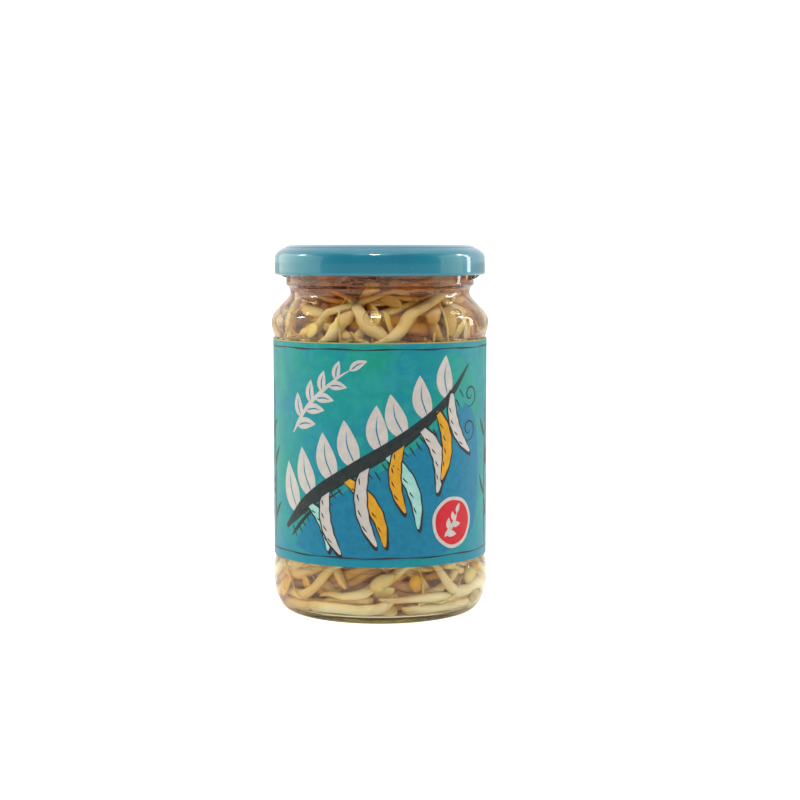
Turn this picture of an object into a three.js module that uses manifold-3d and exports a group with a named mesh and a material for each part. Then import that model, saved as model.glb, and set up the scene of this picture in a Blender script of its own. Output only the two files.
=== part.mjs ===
// A 370 ml twist-off jar of bean sprouts, in millimetres, +Z up.
// The origin is the centre of the base, on the surface that the jar stands on. The label's lap faces +Y.

import * as THREE from 'three';
import { mergeVertices } from 'three/addons/utils/BufferGeometryUtils.js';
import Module from 'manifold-3d';

const wasm = await Module();
wasm.setup();

// Driving dimensions
const gap = 0.3;
const glassSides = 40;

const heel = { ringInner: 27.3, ringOuter: 29.5, bulge: 35.72, height: 12 };
const panel = { radius: 34.85, bottom: 18.6, top: 90.9 };
const label = { inner: 35.15, outer: 35.4, bottom: 19.1, top: 90.4, lapHeight: 0.22, lapWidth: 8 };
const shoulder = { radius: 35.87, height: 94.9 };
const neck = { radius: 29.65, height: 105.7 };
const mouth = { wall: 31.0, bore: 28.8, rim: 118.9 };

const thread = {
  starts: 4,
  lead: 12,
  radius: 31.9,
  thick: 1.1,
  firstAngle: -111,
  stopEnd: 16,
  rampEnd: 26,
  end: 92,
  stopHeight: 111.4,
  rampHeight: 113.8,
};

const lid = { outer: 34.75, inner: 34.3, bottom: 111.2, top: 120.9, panelTop: 120.1, buttonTop: 119.5 };
const lug = { angle: 33, width: 10, inner: 31.75, outer: 33.8, bottom: 111.4, top: 112.35 };

const brine = { level: 112.8, wall: 1.0, bottom: 8.5 };

const bunch = {
  bottom: 4.4,
  top: 111,
  core: 3.2,
  coreBottom: 6.5,
  coreTop: 110,
  coreSides: 16,
  stems: 54,
  shortest: 44,
  longest: 68,
  stemRadius: 2.7,
  rootRadius: 1,
  rootEnd: 0.35,
  sides: 5,
  steps: 4,
  steepest: 60,
  bow: 9,
  deepest: 0.9,
  endDip: 0.7,
  leafEvery: 3,
  leafPlace: 0.97,
  leafSize: [2.5, 4.6, 2.5],
  seed: 20261,
};

// Finishes
const glassFinish = new THREE.MeshStandardMaterial({
  color: '#e4e7dd',
  roughness: 0.04,
  metalness: 0,
  transparent: true,
  opacity: 0.35,
});
const enamelFinish = new THREE.MeshStandardMaterial({ color: '#3a8fa6', roughness: 0.28, metalness: 0.1 });
const sealFinish = new THREE.MeshStandardMaterial({ color: '#e9e4d6', roughness: 0.6, metalness: 0 });
const paperFinish = new THREE.MeshStandardMaterial({ color: '#3a9a9c', roughness: 0.45, metalness: 0 });
const brineFinish = new THREE.MeshStandardMaterial({
  color: '#c9a66a',
  roughness: 0.05,
  metalness: 0,
  transparent: true,
  opacity: 0.35,
});
const sproutFinish = new THREE.MeshStandardMaterial({ color: '#d6c2a2', roughness: 0.4, metalness: 0 });

// Solids

function solidOf(geometry) {
  const bare = geometry.index ? geometry.toNonIndexed() : geometry.clone();
  bare.deleteAttribute('normal');
  bare.deleteAttribute('uv');
  const merged = mergeVertices(bare, 1e-3);
  const corners = [];
  for (let i = 0; i < merged.index.count; i += 3) {
    const [a, b, c] = [merged.index.getX(i), merged.index.getX(i + 1), merged.index.getX(i + 2)];
    if (a !== b && b !== c && c !== a) corners.push(a, b, c);
  }
  if (signedVolume(merged.attributes.position, corners) < 0) corners.reverse();
  const vertProperties = new Float32Array(merged.attributes.position.array);
  return new wasm.Manifold(new wasm.Mesh({ numProp: 3, vertProperties, triVerts: new Uint32Array(corners) }));
}

function signedVolume(position, corners) {
  const [a, b, c] = [new THREE.Vector3(), new THREE.Vector3(), new THREE.Vector3()];
  let volume = 0;
  for (let i = 0; i < corners.length; i += 3) {
    a.fromBufferAttribute(position, corners[i]);
    b.fromBufferAttribute(position, corners[i + 1]);
    c.fromBufferAttribute(position, corners[i + 2]);
    volume += a.dot(b.cross(c)) / 6;
  }
  return volume;
}

function piece(name, solid, material) {
  const { vertProperties, triVerts } = solid.getMesh();
  const geometry = new THREE.BufferGeometry();
  geometry.setAttribute('position', new THREE.BufferAttribute(new Float32Array(vertProperties), 3));
  geometry.setIndex(new THREE.BufferAttribute(new Uint32Array(triVerts), 1));
  geometry.computeVertexNormals();
  const mesh = new THREE.Mesh(geometry, material);
  mesh.name = name;
  return mesh;
}

// A turned body from [radius, height] points that start and end on the axis, or close on themselves
function turned(points, sides) {
  const profile = points.map(([radius, height]) => new THREE.Vector2(radius, height));
  if (points[0][0] > 0) profile.push(profile[0].clone());
  const geometry = new THREE.LatheGeometry(profile, sides);
  geometry.rotateX(Math.PI / 2);
  return solidOf(geometry);
}

// A tapered rod bent along a curve: radiusAt gives its radius from 0, the start, to 1, the end
function bentRod(curve, radiusAt, sides, steps) {
  const geometry = new THREE.CylinderGeometry(1, 1, 1, sides, steps);
  const frames = curve.computeFrenetFrames(steps, false);
  const position = geometry.attributes.position;
  const point = new THREE.Vector3();
  for (let i = 0; i < position.count; i++) {
    const along = position.getY(i) + 0.5;
    const step = Math.round(along * steps);
    const radius = radiusAt(along);
    curve.getPointAt(along, point);
    point.addScaledVector(frames.normals[step], position.getX(i) * radius);
    point.addScaledVector(frames.binormals[step], position.getZ(i) * radius);
    position.setXYZ(i, point.x, point.y, point.z);
  }
  return solidOf(geometry);
}

// A block between two radii and two angles
function arcBlock(inner, outer, from, to, bottom, top) {
  const outline = new THREE.Shape();
  outline.absarc(0, 0, outer, from, to, false);
  outline.absarc(0, 0, inner, to, from, true);
  const settings = { depth: top - bottom, bevelEnabled: false, curveSegments: 3 };
  const geometry = new THREE.ExtrudeGeometry(outline, settings);
  geometry.translate(0, 0, bottom);
  return solidOf(geometry);
}

function around(radius, degrees, height) {
  const angle = THREE.MathUtils.degToRad(degrees);
  return new THREE.Vector3(radius * Math.cos(angle), radius * Math.sin(angle), height);
}

function repeatRound(solid, copies) {
  return Array.from({ length: copies }, (_, i) => solid.rotate([0, 0, (360 / copies) * i]));
}

// Jar

function heelCurve(points) {
  const curve = [];
  for (let i = 0; i <= points; i++) {
    const angle = (i / points) * (Math.PI / 2);
    const radius = heel.ringOuter + (heel.bulge - heel.ringOuter) * Math.sin(angle);
    curve.push([radius, heel.height * (1 - Math.cos(angle))]);
  }
  return curve;
}

const jarOutside = [
  [0, 2.8],
  [17, 2.1],
  [heel.ringInner, 0],
  ...heelCurve(5),
  [heel.bulge - 0.12, 15.8],
  [panel.radius, panel.bottom],
  [panel.radius, panel.top],
  [shoulder.radius, shoulder.height],
  [shoulder.radius - 0.12, 96.8],
  [35.0, 98.8],
  [33.3, 100.7],
  [31.1, 102.8],
  [30.0, 104.3],
  [neck.radius, neck.height],
  [30.05, 107],
  [31.2, 108.2],
  [mouth.wall, 109.3],
  [mouth.wall, 117.7],
  [30.4, 118.6],
  [29.9, mouth.rim],
];
const jarInside = [
  [29.3, mouth.rim],
  [mouth.bore, 118.4],
  [mouth.bore, 112.5],
  [28.2, 109],
  [27.2, 105.8],
  [27.8, 103],
  [29.4, 100.6],
  [32.2, 97.2],
  [32.85, 93.6],
  [32.4, 90.2],
  [32.4, 18],
  [32.8, 12.5],
  [32.1, 7.6],
  [30.4, 4.6],
  [27.8, 3.5],
  [0, 6],
];

function threadRidge() {
  const span = 2;
  const points = [];
  for (let angle = 0; angle <= thread.end; angle += span) {
    points.push(around(thread.radius, thread.firstAngle + angle, threadHeight(angle)));
  }
  const curve = new THREE.CatmullRomCurve3(points);
  const roundedEnd = (along) => thread.thick * Math.min(1, 0.45 + 9 * Math.min(along, 1 - along));
  return bentRod(curve, roundedEnd, 5, 10);
}

// The ridge lies low at its closed end as a stop, ramps up, and then climbs with the lead
function threadHeight(angle) {
  if (angle <= thread.stopEnd) return thread.stopHeight;
  if (angle >= thread.rampEnd) return thread.rampHeight + (thread.lead * (angle - thread.rampEnd)) / 360;
  const share = (angle - thread.stopEnd) / (thread.rampEnd - thread.stopEnd);
  return THREE.MathUtils.lerp(thread.stopHeight, thread.rampHeight, share);
}

const glassBody = turned([...jarOutside, ...jarInside], glassSides);
const jarGlass = wasm.Manifold.union([glassBody, ...repeatRound(threadRidge(), thread.starts)]);

// Lid: enamelled tinplate with a stepped top, a rolled lower edge and four lugs

const lidOutside = [
  [0, lid.buttonTop - 0.1],
  [11.6, lid.buttonTop],
  [13.6, lid.panelTop],
  [24.8, lid.panelTop],
  [26.2, lid.top],
  [29.8, lid.top],
  [31.3, 120.25],
  [32.6, 119.55],
  [33.6, 118.9],
  [34.5, 118.15],
  [lid.outer, 117.4],
  [lid.outer, 112],
  [34.55, 111.45],
];
const lidInside = [
  [34.1, lid.bottom],
  [33.65, 111.45],
  [33.45, 112],
  [33.7, 112.55],
  [lid.inner, 113],
  [lid.inner, 117.2],
  [33.3, 118.4],
  [31.1, 119.75],
  [29.6, lid.top - 0.45],
  [26.5, lid.top - 0.45],
  [25.1, lid.panelTop - 0.45],
  [13.9, lid.panelTop - 0.45],
  [11.9, lid.buttonTop - 0.45],
  [0, lid.buttonTop - 0.55],
];

function lidLug() {
  const from = THREE.MathUtils.degToRad(thread.firstAngle + lug.angle - lug.width / 2);
  const to = from + THREE.MathUtils.degToRad(lug.width);
  return arcBlock(lug.inner, lug.outer, from, to, lug.bottom, lug.top);
}

const lidBody = turned([...lidOutside, ...lidInside], glassSides);
const lidShell = wasm.Manifold.union([lidBody, ...repeatRound(lidLug(), thread.starts)]);

// Sealing ring, in the channel of the lid above the glass rim

const lidSeal = turned(
  [
    [27.6, 119.2],
    [30.7, 119.2],
    [31.5, 118.95],
    [31.5, 119.2],
    [30.9, 119.55],
    [29.6, 120.15],
    [27.6, 120.15],
  ],
  glassSides,
);

// Label: a paper sleeve, one sheet thicker where its ends lap

function labelSleeve() {
  const sheet = turned(
    [
      [label.inner, label.bottom],
      [label.outer, label.bottom],
      [label.outer, label.top],
      [label.inner, label.top],
    ],
    glassSides,
  );
  const halfLap = label.lapWidth / 2 / label.outer;
  const from = Math.PI / 2 - halfLap;
  const to = Math.PI / 2 + halfLap;
  const lap = arcBlock(label.outer - 0.12, label.outer + label.lapHeight, from, to, label.bottom, label.top);
  return sheet.add(lap);
}

// Brine: the liquid round the bunch, with a flat level, and one plain hole that the bunch stands in

const brineOutside = [
  [0, brine.level],
  [mouth.bore - gap, brine.level],
  [26.85, 105.8],
  [27.45, 103.1],
  [30, 99.4],
  [32.5, 94.2],
  [32.05, 90.2],
  [32.05, 18],
  [32.45, 12.5],
  [32, brine.bottom],
];
const brineInside = brineOutside
  .slice(2)
  .reverse()
  .map(([radius, height]) => [radius - brine.wall, height]);
const brineBody = turned(
  [...brineOutside, ...brineInside, [27.2, brine.level - brine.wall], [0, brine.level - brine.wall]],
  30,
);

// Sprouts: a packed bunch, its stems bent round the inside of the jar and sunk in a smaller core

const bunchEdge = [
  [4.4, 28.2],
  [6.2, 29.8],
  [brine.bottom, 30.6],
  [90.2, 30.6],
  [93.5, 30.9],
  [97, 30.2],
  [100.5, 27.5],
  [103, 25.9],
  [105.8, 25.3],
  [112, 26],
];

function edgeAt(height) {
  const last = bunchEdge.length - 1;
  if (height <= bunchEdge[0][0]) return bunchEdge[0][1];
  if (height >= bunchEdge[last][0]) return bunchEdge[last][1];
  const i = bunchEdge.findIndex(([top]) => top > height);
  const [[lowHeight, lowRadius], [highHeight, highRadius]] = [bunchEdge[i - 1], bunchEdge[i]];
  return THREE.MathUtils.mapLinear(height, lowHeight, highHeight, lowRadius, highRadius);
}

// The draw is the same on every run
function drawFrom(seed) {
  let state = seed;
  return (low, high) => {
    state = (state * 16807) % 2147483647;
    return low + (high - low) * (state / 2147483647);
  };
}

// A stem's line is a bow on the unrolled side of the bunch, wrapped round it, with both ends dipping inwards
class StemLine extends THREE.Curve {
  constructor(index, draw) {
    super();
    const goldenAngle = Math.PI * (3 - Math.sqrt(5));
    this.turn = index * goldenAngle + draw(-0.25, 0.25);
    this.middle = THREE.MathUtils.lerp(bunch.bottom, bunch.top, (index + 0.5) / bunch.stems);
    this.slope = THREE.MathUtils.degToRad(draw(-bunch.steepest, bunch.steepest));
    this.length = draw(bunch.shortest, bunch.longest);
    this.bow = draw(-bunch.bow, bunch.bow);
    this.depth = draw(0, bunch.deepest);
  }

  getPoint(share, target = new THREE.Vector3()) {
    const along = 2 * share - 1;
    const run = (along * this.length) / 2;
    const side = this.bow * (1 - along * along);
    const rise = run * Math.sin(this.slope) + side * Math.cos(this.slope);
    const lowest = bunch.bottom + bunch.stemRadius;
    const highest = bunch.top - bunch.stemRadius;
    const height = THREE.MathUtils.clamp(this.middle + rise, lowest, highest);
    const radius = edgeAt(height) - bunch.stemRadius - this.depth - bunch.endDip * along ** 4;
    const angle = this.turn + (run * Math.cos(this.slope) - side * Math.sin(this.slope)) / radius;
    return target.set(radius * Math.cos(angle), radius * Math.sin(angle), height);
  }
}

// Two seed leaves stay closed as one bean at the upper end of a stem
function seedLeaves(line) {
  const end = line.getPointAt(bunch.leafPlace);
  const geometry = new THREE.SphereGeometry(1, 5, 4);
  geometry.scale(...bunch.leafSize);
  const turn = new THREE.Quaternion();
  turn.setFromUnitVectors(new THREE.Vector3(0, 1, 0), line.getTangentAt(bunch.leafPlace));
  geometry.applyQuaternion(turn);
  const inward = Math.min(1, (edgeAt(end.z) - bunch.leafSize[0] - 0.1) / Math.hypot(end.x, end.y));
  geometry.translate(end.x * inward, end.y * inward, end.z);
  return solidOf(geometry);
}

function bunchCore() {
  const profile = bunchEdge.map(([height, radius]) => [
    radius - bunch.core,
    THREE.MathUtils.clamp(height, bunch.coreBottom, bunch.coreTop),
  ]);
  return turned([[0, bunch.coreBottom], ...profile, [0, bunch.coreTop]], bunch.coreSides);
}

function sproutBunch() {
  const draw = drawFrom(bunch.seed);
  const solids = [bunchCore()];
  const { smoothstep, lerp } = THREE.MathUtils;
  const radiusAt = (along) => lerp(bunch.rootRadius, bunch.stemRadius, smoothstep(along, 0, bunch.rootEnd));
  for (let i = 0; i < bunch.stems; i++) {
    const line = new StemLine(i, draw);
    solids.push(bentRod(line, radiusAt, bunch.sides, bunch.steps));
    if (i % bunch.leafEvery === 0) solids.push(seedLeaves(line));
  }
  const bodies = wasm.Manifold.union(solids).decompose();
  return bodies.sort((a, b) => b.volume() - a.volume())[0];
}

const jar = new THREE.Group();
jar.add(
  piece('jar_glass', jarGlass, glassFinish),
  piece('lid_shell', lidShell, enamelFinish),
  piece('lid_seal', lidSeal, sealFinish),
  piece('label', labelSleeve(), paperFinish),
  piece('brine', brineBody, brineFinish),
  piece('sprouts', sproutBunch(), sproutFinish),
);

export default jar;
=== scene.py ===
import math

import bmesh
import bpy
import numpy as np
from mathutils import Matrix, Vector


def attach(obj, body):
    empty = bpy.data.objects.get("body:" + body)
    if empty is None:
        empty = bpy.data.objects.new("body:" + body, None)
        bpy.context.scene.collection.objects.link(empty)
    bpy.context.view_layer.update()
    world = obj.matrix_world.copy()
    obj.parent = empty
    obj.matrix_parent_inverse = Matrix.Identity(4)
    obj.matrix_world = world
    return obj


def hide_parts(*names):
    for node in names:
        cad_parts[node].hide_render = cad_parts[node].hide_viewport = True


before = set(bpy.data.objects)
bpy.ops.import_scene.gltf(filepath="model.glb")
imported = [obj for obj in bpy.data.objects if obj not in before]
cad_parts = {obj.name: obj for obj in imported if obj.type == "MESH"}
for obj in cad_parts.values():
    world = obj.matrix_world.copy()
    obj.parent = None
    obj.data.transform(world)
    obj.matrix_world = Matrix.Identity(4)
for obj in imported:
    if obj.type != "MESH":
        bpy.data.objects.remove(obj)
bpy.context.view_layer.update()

scene = bpy.context.scene
mm = 0.001


# Helpers

def linear(hexColour, alpha=1.0):
    # sRGB hex to the linear values that sockets take
    parts = [int(hexColour[i:i + 2], 16) / 255 for i in (1, 3, 5)]
    return tuple(c / 12.92 if c <= 0.04045 else ((c + 0.055) / 1.055) ** 2.4 for c in parts) + (alpha,)


def newMaterial(name):
    material = bpy.data.materials.new(name)
    material.use_nodes = True
    material.node_tree.nodes.clear()
    return material


def addNode(material, kind, values=None, links=None, **settings):
    made = material.node_tree.nodes.new(kind)
    for key, value in settings.items():
        setattr(made, key, value)
    for key, value in (values or {}).items():
        made.inputs[key].default_value = value
    for key, socket in (links or {}).items():
        material.node_tree.links.new(socket, made.inputs[key])
    return made


def finishMaterial(material, shader, inside=None):
    # inside is what fills a clear piece, such as the tint of its glass
    links = {"Surface": shader.outputs[0]}
    if inside is not None:
        links["Volume"] = inside.outputs[0]
    addNode(material, "ShaderNodeOutputMaterial", links=links)
    return material


def mixColour(material, factor, first, second, blend="MIX"):
    # first and second are either a colour or a socket
    made = addNode(material, "ShaderNodeMix", links={0: factor}, data_type="RGBA", blend_type=blend)
    for index, value in ((6, first), (7, second)):
        if isinstance(value, tuple):
            made.inputs[index].default_value = value
        else:
            material.node_tree.links.new(value, made.inputs[index])
    return made.outputs[2]


def noiseAt(material, sizeMm, detail=2.0, roughness=0.5, vector=None, distortion=0.0):
    # sizeMm is how large one blob of the noise is on the real thing
    if vector is None:
        vector = addNode(material, "ShaderNodeTexCoord").outputs["Object"]
    values = {"Scale": 1 / (sizeMm * mm), "Detail": detail, "Roughness": roughness,
              "Distortion": distortion}
    return addNode(material, "ShaderNodeTexNoise", values, {"Vector": vector}).outputs["Fac"]


def spread(material, socket, low, high, toLow=0.0, toHigh=1.0):
    values = {"From Min": low, "From Max": high, "To Min": toLow, "To Max": toHigh}
    return addNode(material, "ShaderNodeMapRange", values, {"Value": socket}).outputs[0]


def bumpFrom(material, height, depthMm, strength=1.0):
    values = {"Strength": strength, "Distance": depthMm * mm}
    return addNode(material, "ShaderNodeBump", values, {"Height": height}).outputs[0]


def placePiece(name, bm, material, body, sharpAngle=40):
    # every mesh is worked out in millimetres and put in the frame's metres here
    bmesh.ops.scale(bm, vec=(mm, mm, mm), verts=bm.verts)
    mesh = bpy.data.meshes.new(name)
    bm.to_mesh(mesh)
    bm.free()
    piece = bpy.data.objects.new(name, mesh)
    scene.collection.objects.link(piece)
    for each in material if isinstance(material, list) else [material]:
        mesh.materials.append(each)
    mesh.polygons.foreach_set("use_smooth", [True] * len(mesh.polygons))
    mesh.set_sharp_from_angle(angle=math.radians(sharpAngle))
    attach(piece, body)
    return piece


def smoothLine(points, perSpan):
    # Catmull-Rom curve through [radius, height] points
    points = [np.array(p, float) for p in points]
    padded = [2 * points[0] - points[1]] + points + [2 * points[-1] - points[-2]]
    line = []
    for a, b, c, d in zip(padded, padded[1:], padded[2:], padded[3:]):
        for k in range(perSpan):
            t = k / perSpan
            line.append(0.5 * (2 * b + (c - a) * t + (2 * a - 5 * b + 4 * c - d) * t ** 2
                               + (3 * b - a - 3 * c + d) * t ** 3))
    line.append(points[-1])
    return [tuple(p) for p in line]


def smoothPath(beads, count):
    # evenly spread points on a smooth curve through the beads
    line = np.array(smoothLine(list(beads), 4))
    steps = np.linalg.norm(np.diff(line, axis=0), axis=1)
    reach = np.concatenate([[0], np.cumsum(steps)])
    wanted = np.linspace(0, reach[-1], count)
    return np.stack([np.interp(wanted, reach, line[:, axis]) for axis in range(line.shape[1])], axis=1)


def drawFrom(seed):
    # the same draw as the solid bunch, so that its stems start from the same lines
    state = [seed]

    def draw(low, high):
        state[0] = state[0] * 16807 % 2147483647
        return low + (high - low) * state[0] / 2147483647

    return draw


def turnProfile(profile, steps):
    # spins a closed [radius, height] outline round the jar's axis
    bm = bmesh.new()
    verts = [bm.verts.new((radius, 0, height)) for radius, height in profile]
    edges = [bm.edges.new(pair) for pair in zip(verts, verts[1:])]
    if profile[0][0] > 1e-6:
        edges.append(bm.edges.new((verts[-1], verts[0])))
    bmesh.ops.spin(bm, geom=verts + edges, axis=(0, 0, 1), cent=(0, 0, 0), dvec=(0, 0, 0),
                   angle=2 * math.pi, steps=steps, use_merge=True)
    bmesh.ops.remove_doubles(bm, verts=bm.verts, dist=1e-4)
    bmesh.ops.recalc_face_normals(bm, faces=bm.faces)
    return bm


# Camera, at the photograph's angle

view = {
    "distance": 618.9,
    "height": 122.3,
    "tilt": 4.88,
    "turn": 0.615,
    "focal": 1864.1,
    "frame": 800,
    "sensor": 36,
}


def placeCamera():
    data = bpy.data.cameras.new("camera")
    data.sensor_width = view["sensor"]
    data.lens = view["focal"] / view["frame"] * view["sensor"]
    data.clip_start = 0.01
    camera = bpy.data.objects.new("camera", data)
    camera.location = (0, -view["distance"] * mm, view["height"] * mm)
    camera.rotation_euler = (math.radians(90 - view["tilt"]), 0, -math.radians(view["turn"]))
    scene.collection.objects.link(camera)
    scene.camera = camera


# Studio: a pale floor and soft lamps round the jar

studio = {
    "ambientBack": 1.05,
    "ambientFront": 0.16,
    "ambientSpan": (-0.5, 0.35),
    "aimHeight": 70,
    "floorColour": "#f7f6f4",
    "floorGlow": 0.7,
    "floorBounce": 0.2,
    "floorSize": 60.0,
    # name: (azimuth from the camera in degrees, elevation, distance, width, height, watts, colour)
    "lamps": {
        "leftBox": (-104, 15, 0.95, 1.5, 0.62, 4.4, "#f6ffe2"),
        "rightBox": (84, 15, 0.95, 0.56, 0.62, 1.6, "#f6ffe2"),
        "rightStrip": (111, 14, 0.8, 0.09, 0.42, 1.1, "#ffffff"),
        "topLamp": (-8, 62, 0.9, 0.12, 0.12, 4.6, "#fffdf8"),
        "leftLamp": (-102, 32, 0.85, 0.14, 0.14, 1.3, "#ffffff"),
        "rightLamp": (107, 32, 0.85, 0.13, 0.13, 1.2, "#ffffff"),
        "overhead": (0, 88, 1.2, 1.0, 1.0, 1.8, "#ffffff"),
        "fill": (0, 20, 0.9, 0.8, 0.8, 0.9, "#fff8ec"),
    },
    "unmirrored": ("fill",),
}


def lightStudio():
    world = bpy.data.worlds.new("studio")
    scene.world = world
    world.use_nodes = True
    world.node_tree.nodes.clear()
    direction = addNode(world, "ShaderNodeTexCoord").outputs["Generated"]
    split = addNode(world, "ShaderNodeSeparateXYZ", links={0: direction})
    low, high = studio["ambientSpan"]
    brightness = addNode(world, "ShaderNodeMapRange",
                         {"From Min": low, "From Max": high,
                          "To Min": studio["ambientFront"], "To Max": studio["ambientBack"]},
                         {"Value": split.outputs["Y"]}, interpolation_type="SMOOTHSTEP")
    seen = addNode(world, "ShaderNodeLightPath").outputs["Is Camera Ray"]
    strength = addNode(world, "ShaderNodeMath", links={0: brightness.outputs[0], 1: seen},
                       operation="MAXIMUM")
    background = addNode(world, "ShaderNodeBackground", {"Color": (1, 1, 1, 1)},
                         {"Strength": strength.outputs[0]})
    addNode(world, "ShaderNodeOutputWorld", links={"Surface": background.outputs[0]})
    scene.view_settings.view_transform = "Standard"

    target = Vector((0, 0, studio["aimHeight"] * mm))
    for name, (azimuth, elevation, distance, width, height, watts, colour) in studio["lamps"].items():
        data = bpy.data.lights.new(name, "AREA")
        data.shape = "RECTANGLE"
        data.size, data.size_y = width, height
        data.energy = watts
        data.color = linear(colour)[:3]
        lamp = bpy.data.objects.new(name, data)
        turn, lift = math.radians(azimuth), math.radians(elevation)
        reach = Vector((math.sin(turn) * math.cos(lift), -math.cos(turn) * math.cos(lift), math.sin(lift)))
        lamp.location = target + distance * reach
        lamp.rotation_euler = reach.to_track_quat("Z", "Y").to_euler()
        lamp.visible_glossy = name not in studio["unmirrored"]
        scene.collection.objects.link(lamp)


def layFloor():
    bm = bmesh.new()
    bmesh.ops.create_grid(bm, x_segments=1, y_segments=1, size=studio["floorSize"] / 2 / mm)
    mesh = bpy.data.meshes.new("floor")
    bmesh.ops.translate(bm, vec=(0, 0, -0.05), verts=bm.verts)
    bmesh.ops.scale(bm, vec=(mm, mm, mm), verts=bm.verts)
    bm.to_mesh(mesh)
    bm.free()
    floor = bpy.data.objects.new("floor", mesh)
    material = newMaterial("matte backdrop board")
    shader = addNode(material, "ShaderNodeBsdfPrincipled",
                     {"Base Color": linear(studio["floorColour"]), "Roughness": 0.9,
                      "Specular IOR Level": 0.1})
    # the board glows for the picture and through the glass, but lights the jar only softly
    glow = addNode(material, "ShaderNodeEmission", {"Strength": studio["floorGlow"]})
    both = addNode(material, "ShaderNodeAddShader", links={0: shader.outputs[0], 1: glow.outputs[0]})
    path = addNode(material, "ShaderNodeLightPath")
    seen = addNode(material, "ShaderNodeMath", operation="MAXIMUM",
                   links={0: path.outputs["Is Camera Ray"], 1: path.outputs["Is Transmission Ray"]})
    soft = addNode(material, "ShaderNodeMath", {1: studio["floorBounce"]},
                   {0: path.outputs["Is Diffuse Ray"]}, operation="MULTIPLY")
    share = addNode(material, "ShaderNodeMath", operation="MAXIMUM",
                    links={0: seen.outputs[0], 1: soft.outputs[0]})
    mixed = addNode(material, "ShaderNodeMixShader",
                    links={0: share.outputs[0], 1: shader.outputs[0], 2: both.outputs[0]})
    mesh.materials.append(finishMaterial(material, mixed))
    scene.collection.objects.link(floor)


# Jar glass

jar = {
    "segments": 160,
    "heelInner": 27.3, "heelOuter": 29.5, "heelBulge": 35.72, "heelHeight": 12,
    "panel": 34.85, "shoulder": 35.87, "shoulderHeight": 94.9,
    "mouthWall": 31.0, "rim": 118.9, "outsideFrom": 29.6, "seamFrom": 95,
    "finishLow": 109.0, "finishHigh": 117.6, "finishLoops": 40,
    "seamAngle": -9, "seamHeight": 0.1, "seamWidth": 0.8,
    "tint": "#e6da8e", "tintDensity": 52.0,
}
thread = {
    "starts": 4, "lead": 12, "radius": 31.9, "thick": 1.1, "firstAngle": -111,
    "stopEnd": 16, "rampEnd": 26, "end": 92, "stopHeight": 111.4, "rampHeight": 113.8,
    "hookDrop": 1.1, "hookEnd": 11, "taperStart": 0.3, "taperLength": 9,
}
glassInside = [
    (0, 6.0), (10, 5.75), (19, 4.6), (25.4, 3.2), (28.9, 3.0), (31.3, 4.2), (32.7, 7.0), (33.0, 11.6),
    (32.6, 16.5), (32.4, 20), (32.4, 54), (32.4, 88), (32.7, 91.8), (32.75, 94.4), (32.2, 96.9),
    (30.9, 98.9), (29.2, 100.8), (27.9, 102.9), (27.3, 105.6), (27.9, 108.2), (28.6, 110.8),
    (28.8, 113.5), (28.8, 117.2), (28.9, 118.4), (29.3, 118.9),
]


def jarOutline():
    foot = [(0, 2.8), (9, 2.6), (17, 2.0), (23.5, 0.85),
            (jar["heelInner"] - 0.5, 0.1), (jar["heelInner"], 0)]
    heel = []
    for i in range(13):
        angle = i / 12 * math.pi / 2
        reach = jar["heelBulge"] - jar["heelOuter"]
        heel.append((jar["heelOuter"] + reach * math.sin(angle), jar["heelHeight"] * (1 - math.cos(angle))))
    top = jar["shoulder"]
    side = smoothLine([
        (jar["heelBulge"], 13.2), (jar["heelBulge"] - 0.1, 14.6), (jar["heelBulge"] - 0.3, 16.0),
        (jar["panel"] + 0.28, 17.4), (jar["panel"] + 0.08, 18.6), (jar["panel"], 20.2), (jar["panel"], 36),
        (jar["panel"], 73), (jar["panel"], 89.6), (jar["panel"] + 0.1, 90.9), (jar["panel"] + 0.42, 92.1),
        (top - 0.24, 93.3), (top, jar["shoulderHeight"]),
        (top - 0.1, 96.6), (top - 0.42, 97.9), (34.35, 99.5), (33.1, 100.9), (31.6, 102.4), (30.3, 103.9),
        (29.72, 105.0), (29.7, 106.0), (30.0, 106.9), (30.7, 107.6), (31.12, 108.1), (31.12, 108.6),
        (jar["mouthWall"], jar["finishLow"]),
    ], 3)
    finish = []
    for i in range(1, jar["finishLoops"] + 1):
        share = (i / jar["finishLoops"]) ** 1.5      # closer loops below, where the lid leaves it bare
        finish.append((jar["mouthWall"], jar["finishLow"] + share * (jar["finishHigh"] - jar["finishLow"])))
    rim = [(30.85, 118.2), (30.45, 118.65), (29.9, jar["rim"])]
    return foot + heel + side + finish + rim + smoothLine(glassInside, 2)[::-1]


def threadHeight(angle):
    # a hooked stop at the closed end, a ramp, then a steady climb
    if angle <= thread["stopEnd"]:
        return thread["stopHeight"] - thread["hookDrop"] * max(0, 1 - angle / thread["hookEnd"]) ** 1.5
    if angle >= thread["rampEnd"]:
        return thread["rampHeight"] + thread["lead"] * (angle - thread["rampEnd"]) / 360
    share = (angle - thread["stopEnd"]) / (thread["rampEnd"] - thread["stopEnd"])
    return thread["stopHeight"] + share * (thread["rampHeight"] - thread["stopHeight"])


def threadRise(turn, height):
    # how far the ridge stands out of the mouth's wall at this place
    rise = 0.0
    full = thread["radius"] + thread["thick"] - jar["mouthWall"]
    for start in range(thread["starts"]):
        angle = (turn - thread["firstAngle"] - start * 360 / thread["starts"]) % 360
        for along in (angle, angle - 360):
            if not -2.5 < along < thread["end"] + 2.5:
                continue
            inside = min(max(along, 0), thread["end"])
            past = math.radians(along - inside) * thread["radius"]
            away = math.hypot(height - threadHeight(inside), past) / (thread["thick"] + 0.25)
            if away < 1:
                taper = min(1, thread["taperStart"] + inside / thread["taperLength"])
                rise = max(rise, full * taper * (1 - away ** 4) ** 0.75)
    return rise


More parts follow.
